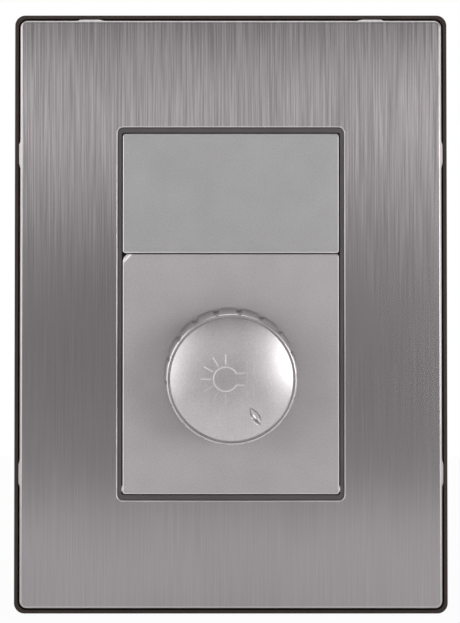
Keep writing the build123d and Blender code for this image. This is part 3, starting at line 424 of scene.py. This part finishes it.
# the outline of the cover without its bumps is the CAD box less their reach on every side
def coverPiece(look):
    low, high = (np.array(corner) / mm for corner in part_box("cover_plate"))
    front = -low[1]
    width = high[0] - low[0] - 2 * look["lanceOut"]
    height = high[2] - low[2] - 2 * look["lanceOut"]
    window = look["window"]
    fadeFrom, fadeTo = (front - depth for depth in look["lanceFade"])
    foot = front - look["skirt"]
    # each row is the inset from the outline and the height above the wall; the fold is a quarter
    # circle from the skirt to the face
    fold = np.linspace(0, np.pi / 2, look["foldSteps"] + 1)
    skirt = np.linspace(foot, front - look["fold"], look["skirtRows"])
    rows = [(0, level) for level in skirt]
    rows += [(look["fold"] * (1 - np.cos(a)), front - look["fold"] * (1 - np.sin(a))) for a in fold[1:]]
    rows += [(look["fold"] + look["margin"], front)]
    rings = []
    for inset, level in rows:
        corner = max(look["corner"] - inset, look["leastCorner"])
        ring = roundedRing(width - 2 * inset, height - 2 * inset, corner, look)
        # the pressed bumps lean out of the skirt and end in the fold, on all sides but the lower
        lean = smoothStep(level, foot, foot + look["lanceRise"]) * (1 - smoothStep(level, fadeFrom, fadeTo))
        onSide = np.abs(np.abs(ring[:, 0]) - (width / 2 - inset)) < look["touch"]
        onEnd = np.abs(ring[:, 1] - (height / 2 - inset)) < look["touch"]
        sideBump = onSide * bumpShare(ring[:, 1], look["lanceZ"], look)
        endBump = onEnd * bumpShare(ring[:, 0], look["lanceX"], look)
        ring[:, 0] += np.sign(ring[:, 0]) * look["lanceOut"] * lean * sideBump
        ring[:, 1] += look["lanceOut"] * lean * endBump
        # the fold carries a painted highlight
        onFold = skirt[-1] < level < front
        rings.append((ring, level, look["foldHighlight"] if onFold else 0))
    # the window's edge is a quarter circle from the face to the wall of the window; each row here is the
    # growth from the window's outline, the height above the wall and the share of painted highlight
    edge, edgeLit = look["windowEdge"], look["edgeHighlight"]
    back = front - look["sheet"]
    turn = np.linspace(0, np.pi / 2, look["edgeRows"])
    rows = [(edge + look["margin"], front, 0)]
    rows += [(edge * (1 - np.sin(a)), front - edge * (1 - np.cos(a)), edgeLit) for a in turn]
    rows += [(0, back, 0)]
    for grow, level, paintedHighlight in rows:
        ring = roundedRing(window[0] + 2 * grow, window[1] + 2 * grow, look["windowCorner"] + grow, look)
        rings.append((ring, level, paintedHighlight))
    # the inner side: behind the face out to the skirt, and down the skirt to its foot
    inset = look["sheet"]
    for level in (back, foot):
        ring = roundedRing(width - 2 * inset, height - 2 * inset, look["corner"] - inset, look)
        rings.append((ring, level, 0))
    grid = np.stack([
        np.stack([ring[:, 0], np.full(len(ring), -level), ring[:, 1]], -1) for ring, level, paintedHighlight in rings
    ])
    piece = ringMesh("brushed_plate", grid * mm, "round")
    shares = np.repeat([paintedHighlight for ring, level, paintedHighlight in rings], grid.shape[1]).astype(float)
    piece.data.attributes.new("paintedHighlight", "FLOAT", "POINT").data.foreach_set("value", shares)
    shade(piece, look["sharpFrom"])
    piece.data.materials.append(materials["brushed_cover"])
    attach(piece, "switch")
    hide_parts("cover_plate")


coverPiece(cover)
print("cover done")


# the domed cap of the knob, with the lamp sign in relief and the dimple of the pointer; a ray is
# its angle in degrees and its share, and a line of the lamp's base is its distance to the right
cap = {
    "crown": 1.08, "edge": 0.15, "recess": 1.6, "drop": 0.15, "grooveDepth": 0.10, "flange": 0.14,
    "around": 480, "fineStep": 0.062, "sharpFrom": 50,
    "signX": -1.1, "signZ": 0.1, "bulb": 2.18, "bulbOpen": 28.0,
    "neckEnd": 3.35, "neckHalf": 1.12, "neckShare": 0.7,
    "baseAt": (3.85, 5.1), "baseHalf": 3.2, "baseShare": 0.18,
    "rayNear": 2.75, "rayFar": 4.45,
    "rays": ((90, 1), (120, 1), (150, 1), (180, 0.9), (210, 0.4), (240, 0.35), (270, 0.45)),
    "lineWidth": 0.36, "lineTop": 0.04, "lineRise": 0.018,
    "pointerAngle": -57.0, "pointerAt": 8.2, "pointerLength": 4.1, "pointerWidth": 1.5, "pointerLift": 0.12,
}


# distance from points to a straight line between two ends
def lineDistance(x, z, ends):
    (x0, z0), (x1, z1) = ends
    dx, dz = x1 - x0, z1 - z0
    share = np.clip(((x - x0) * dx + (z - z0) * dz) / (dx * dx + dz * dz), 0, 1)
    return np.hypot(x - x0 - share * dx, z - z0 - share * dz)


# share of the sign at each point: 1 along a full line, less along a worn one, 0 beside them
def signShare(x, z, look):
    x, z = x - look["signX"], z - look["signZ"]
    radius, angle = np.hypot(x, z), np.degrees(np.arctan2(z, x))
    opening = math.radians(look["bulbOpen"])
    onArc = np.abs(radius - look["bulb"])
    mouthX, mouthZ = look["bulb"] * math.cos(opening), look["bulb"] * math.sin(opening)
    toMouth = np.minimum(np.hypot(x - mouthX, z - mouthZ), np.hypot(x - mouthX, z + mouthZ))
    lines = [(np.where(np.abs(angle) > look["bulbOpen"], onArc, toMouth), 1)]
    for side in (-1, 1):
        ends = (mouthX, side * mouthZ), (look["neckEnd"], side * look["neckHalf"])
        lines.append((lineDistance(x, z, ends), look["neckShare"]))
    for ray, weight in look["rays"]:
        turn = np.array([math.cos(math.radians(ray)), math.sin(math.radians(ray))])
        lines.append((lineDistance(x, z, (look["rayNear"] * turn, look["rayFar"] * turn)), weight))
    for at in look["baseAt"]:
        ends = (at, -look["baseHalf"]), (at, look["baseHalf"])
        lines.append((lineDistance(x, z, ends), look["baseShare"]))
    top, foot = look["lineTop"] / 2, look["lineWidth"] / 2
    return np.max([weight * (1 - smoothStep(distance, top, foot)) for distance, weight in lines], axis=0)


# the dome is part of a sphere, whose radius is the sum of the squares of reach and crown over
# twice the crown; the dimple is the under side of a spindle along the pointer, whose half width
# at each point of its length is that of a circular arc through both its tips
def capPiece(look):
    low, high = (np.array(corner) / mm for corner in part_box("knob_cap"))
    axisX, axisZ = (low[0] + high[0]) / 2, (low[2] + high[2]) / 2
    radius = (high[0] - low[0]) / 2
    apex = -low[1] - look["lineRise"]
    reach = radius - look["edge"]
    sphere = (reach ** 2 + look["crown"] ** 2) / (2 * look["crown"])
    out = np.linspace(0, reach, int(reach / look["fineStep"]))[1:]
    turn = -np.linspace(0, 2 * np.pi, look["around"], endpoint=False)
    x, z = np.outer(out, np.cos(turn)), np.outer(out, np.sin(turn))
    dome = apex - sphere + np.sqrt(sphere ** 2 - out ** 2)
    share = signShare(x, z, look)
    level = dome[:, None] + look["lineRise"] * share
    way = math.radians(look["pointerAngle"])
    along = x * math.cos(way) + z * math.sin(way) - look["pointerAt"]
    across = z * math.cos(way) - x * math.sin(way)
    half, rise = look["pointerLength"] / 2, look["pointerWidth"] / 2
    arc = (half ** 2 + rise ** 2) / (2 * rise)
    spindle = np.where(np.abs(along) < half, np.sqrt(np.maximum(arc ** 2 - along ** 2, 0)) - arc + rise, 0)
    axisLevel = apex - sphere + math.sqrt(sphere ** 2 - look["pointerAt"] ** 2) + look["pointerLift"]
    bottom = axisLevel - np.sqrt(np.maximum(spindle ** 2 - across ** 2, 0))
    level = np.where(spindle > np.abs(across), np.minimum(level, bottom), level)
    # below its edge the cap widens to a flange, which is the floor of the groove round it
    foot = apex - look["crown"]
    groove = foot - look["grooveDepth"]
    wide = radius + look["flange"]
    edge = (
        (radius, foot - look["edge"]), (radius, groove), (wide, groove),
        (wide, foot + look["drop"] - look["recess"]),
    )
    rings = [np.stack([x, -level, z], -1)]
    for distance, height in edge:
        circle = [distance * np.cos(turn), np.full(turn.size, -height), distance * np.sin(turn)]
        rings.append(np.stack(circle, -1)[None])
    grid = np.concatenate(rings) + [axisX, 0, axisZ]
    piece = ringMesh("knob_dome", grid * mm, "poles")
    shade(piece, look["sharpFrom"])
    # the rings come first among the points, and the two poles last
    marks = np.zeros(len(piece.data.vertices))
    marks[:share.size] = share.ravel()
    piece.data.attributes.new("sign", "FLOAT", "POINT").data.foreach_set("value", marks)
    piece.data.materials.append(materials["silver_knob"])
    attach(piece, "knob")
    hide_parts("knob_cap")


capPiece(cap)
print("cap done")


# the floor that the plate stands on, white to the camera, with the plate's shadow kept; it fades
# out towards the room, so that the plate mirrors no hard edge of it; its size is in metres, and
# its fade is in millimetres from the wall
floor = {
    "half": 0.20, "drop": 0.0001, "dark": grey(0.80, 0.2), "light": grey(0.84, 0.2), "cloud": 0.02,
    "roughness": 0.8, "whiteShare": 0.95, "glossShare": 0.62, "fadeFrom": 50.0, "fadeTo": 190.0,
}


def floorPiece(look):
    material, nodes = newFinish("pale_floor")
    cloud = nodes.noise(nodes.spot(), look["cloud"], 2)
    matt = nodes.add("ShaderNodeBsdfPrincipled", {}, {
        "Base Color": nodes.mix(cloud, look["dark"], look["light"]), "Roughness": look["roughness"],
    })
    glow = nodes.add("ShaderNodeEmission", {}, {"Color": (1, 1, 1, 1), "Strength": 1.0})
    camera = nodes.add("ShaderNodeLightPath", output="Is Camera Ray")
    glossy = nodes.add("ShaderNodeLightPath", output="Is Glossy Ray")
    share = look["whiteShare"] * camera + look["glossShare"] * glossy
    surface = nodes.add("ShaderNodeMixShader", {}, {0: share, 1: matt, 2: glow})
    gone = nodes.step(-1 * nodes.part(nodes.spot(), 1), look["fadeFrom"], look["fadeTo"])
    clear = nodes.add("ShaderNodeBsdfTransparent")
    nodes.add("ShaderNodeOutputMaterial", {}, {
        "Surface": nodes.add("ShaderNodeMixShader", {}, {0: gone, 1: surface, 2: clear}),
    })
    level = cadBox[0][2] - look["drop"]
    half = look["half"]
    mesh = bpy.data.meshes.new("floor")
    corners = [(-half, -half, level), (half, -half, level), (half, half, level), (-half, half, level)]
    mesh.from_pydata(corners, [], [(0, 1, 2, 3)])
    mesh.materials.append(material)
    piece = bpy.data.objects.new("floor", mesh)
    bpy.context.scene.collection.objects.link(piece)


floorPiece(floor)
print("floor done")


# the room from below to above: pale, darker at eye height, pale again, darkest over that, and a
# bright ceiling; it has pale walls to both sides and a soft window each side of the camera. A
# climb is a change of level, where it starts and where it ends, and a window is its left, right,
# low and high end and its glow; all angles are in radians from straight ahead of the plate
room = {
    "dark": 0.38, "low": 1.05, "lowFrom": -0.46, "lowTo": -0.05, "least": 0.05,
    "climbs": ((0.61, 0.03, 0.20), (-0.88, 0.23, 0.36), (1.50, 0.95, 1.25)),
    "walls": 0.9, "wallFrom": 1.15, "wallTo": 2.0, "wallSoft": 0.12, "wallFade": (0.5, 1.0),
    "windows": ((0.39, 0.76, -0.09, 0.22, 6.0), (-0.76, -0.41, -0.16, 0.34, 2.5)), "windowSoft": 0.06,
}


def roomLight(look):
    world = bpy.data.worlds.new("room")
    world.use_nodes = True
    bpy.context.scene.world = world
    nodes = Nodes(world.node_tree)
    way = nodes.add("ShaderNodeTexCoord", output="Generated")
    x, y, z = (nodes.part(way, axis) for axis in range(3))
    around = nodes.add("ShaderNodeMath", {"operation": "ARCTAN2"}, {0: x, 1: -1 * y})
    up = nodes.add("ShaderNodeMath", {"operation": "ARCSINE"}, {0: z})
    level = look["dark"] + (look["low"] - look["dark"]) * (1 - nodes.step(up, look["lowFrom"], look["lowTo"]))
    for change, start, end in look["climbs"]:
        level = level + change * nodes.step(up, start, end)
    wall = nodes.band(around.math("ABSOLUTE"), look["wallFrom"], look["wallTo"], look["wallSoft"])
    level = level + look["walls"] * wall * (1 - nodes.step(up, *look["wallFade"]))
    soft = look["windowSoft"]
    for left, right, low, high, glow in look["windows"]:
        pane = nodes.band(around, left, right, soft) * nodes.band(up, low, high, soft)
        level = level + glow * pane
    # what the camera sees itself, or through something clear, is white
    seen = nodes.add("ShaderNodeLightPath", output="Is Camera Ray")
    clear = nodes.add("ShaderNodeLightPath", output="Is Transmission Ray")
    direct = seen.math("MAXIMUM", clear)
    nodes.add("ShaderNodeOutputWorld", {}, {
        "Surface": nodes.add("ShaderNodeBackground", {}, {
            "Color": (1, 1, 1, 1), "Strength": direct + (1 - direct) * level.math("MAXIMUM", look["least"]),
        }),
    })


roomLight(room)
print("room done")

# places and sizes are in metres
lamps = {
    "upperLeft": {"place": (-0.75, -0.30, 0.50), "size": (0.50, 0.50), "radiance": 1.8},
    "above": {"place": (0.0, -0.55, 0.95), "size": (0.9, 0.6), "radiance": 0.6},
}


# a soft rectangular lamp that faces the plate; its energy is its radiance times its area and pi
def softLamp(name, look):
    lamp = bpy.data.lights.new(name, "AREA")
    lamp.shape = "RECTANGLE"
    lamp.size, lamp.size_y = look["size"]
    lamp.energy = look["radiance"] * math.pi * look["size"][0] * look["size"][1]
    stand = bpy.data.objects.new(name, lamp)
    stand.location = look["place"]
    stand.rotation_euler = (-Vector(look["place"])).to_track_quat("-Z", "Y").to_euler()
    stand.visible_camera = False
    bpy.context.scene.collection.objects.link(stand)


for name, look in lamps.items():
    softLamp(name, look)

# the camera stands 0.2 m in front of the wall, a little left of the plate's middle, and tilts up
# slightly; its focal length and the place of its axis in the image are in pixels
view = {
    "place": (-0.00169, -0.1997, 0.00027), "tilt": 0.0103, "focal": 954.0, "sensor": 24.0, "near": 0.01,
    "imageWidth": 460, "imageHeight": 623, "axisX": 222.4, "axisY": 302.4,
}
camera = bpy.data.objects.new("camera", bpy.data.cameras.new("camera"))
camera.location = view["place"]
camera.rotation_euler = (math.pi / 2 + view["tilt"], 0, 0)
camera.data.sensor_fit = "VERTICAL"
camera.data.sensor_height = view["sensor"]
camera.data.lens = view["focal"] * view["sensor"] / view["imageHeight"]
camera.data.shift_x = (view["imageWidth"] / 2 - view["axisX"]) / view["imageHeight"]
camera.data.shift_y = (view["axisY"] - view["imageHeight"] / 2) / view["imageHeight"]
camera.data.clip_start = view["near"]
bpy.context.scene.collection.objects.link(camera)
bpy.context.scene.camera = camera
bpy.context.scene.view_settings.view_transform = "Standard"
print("studio done")
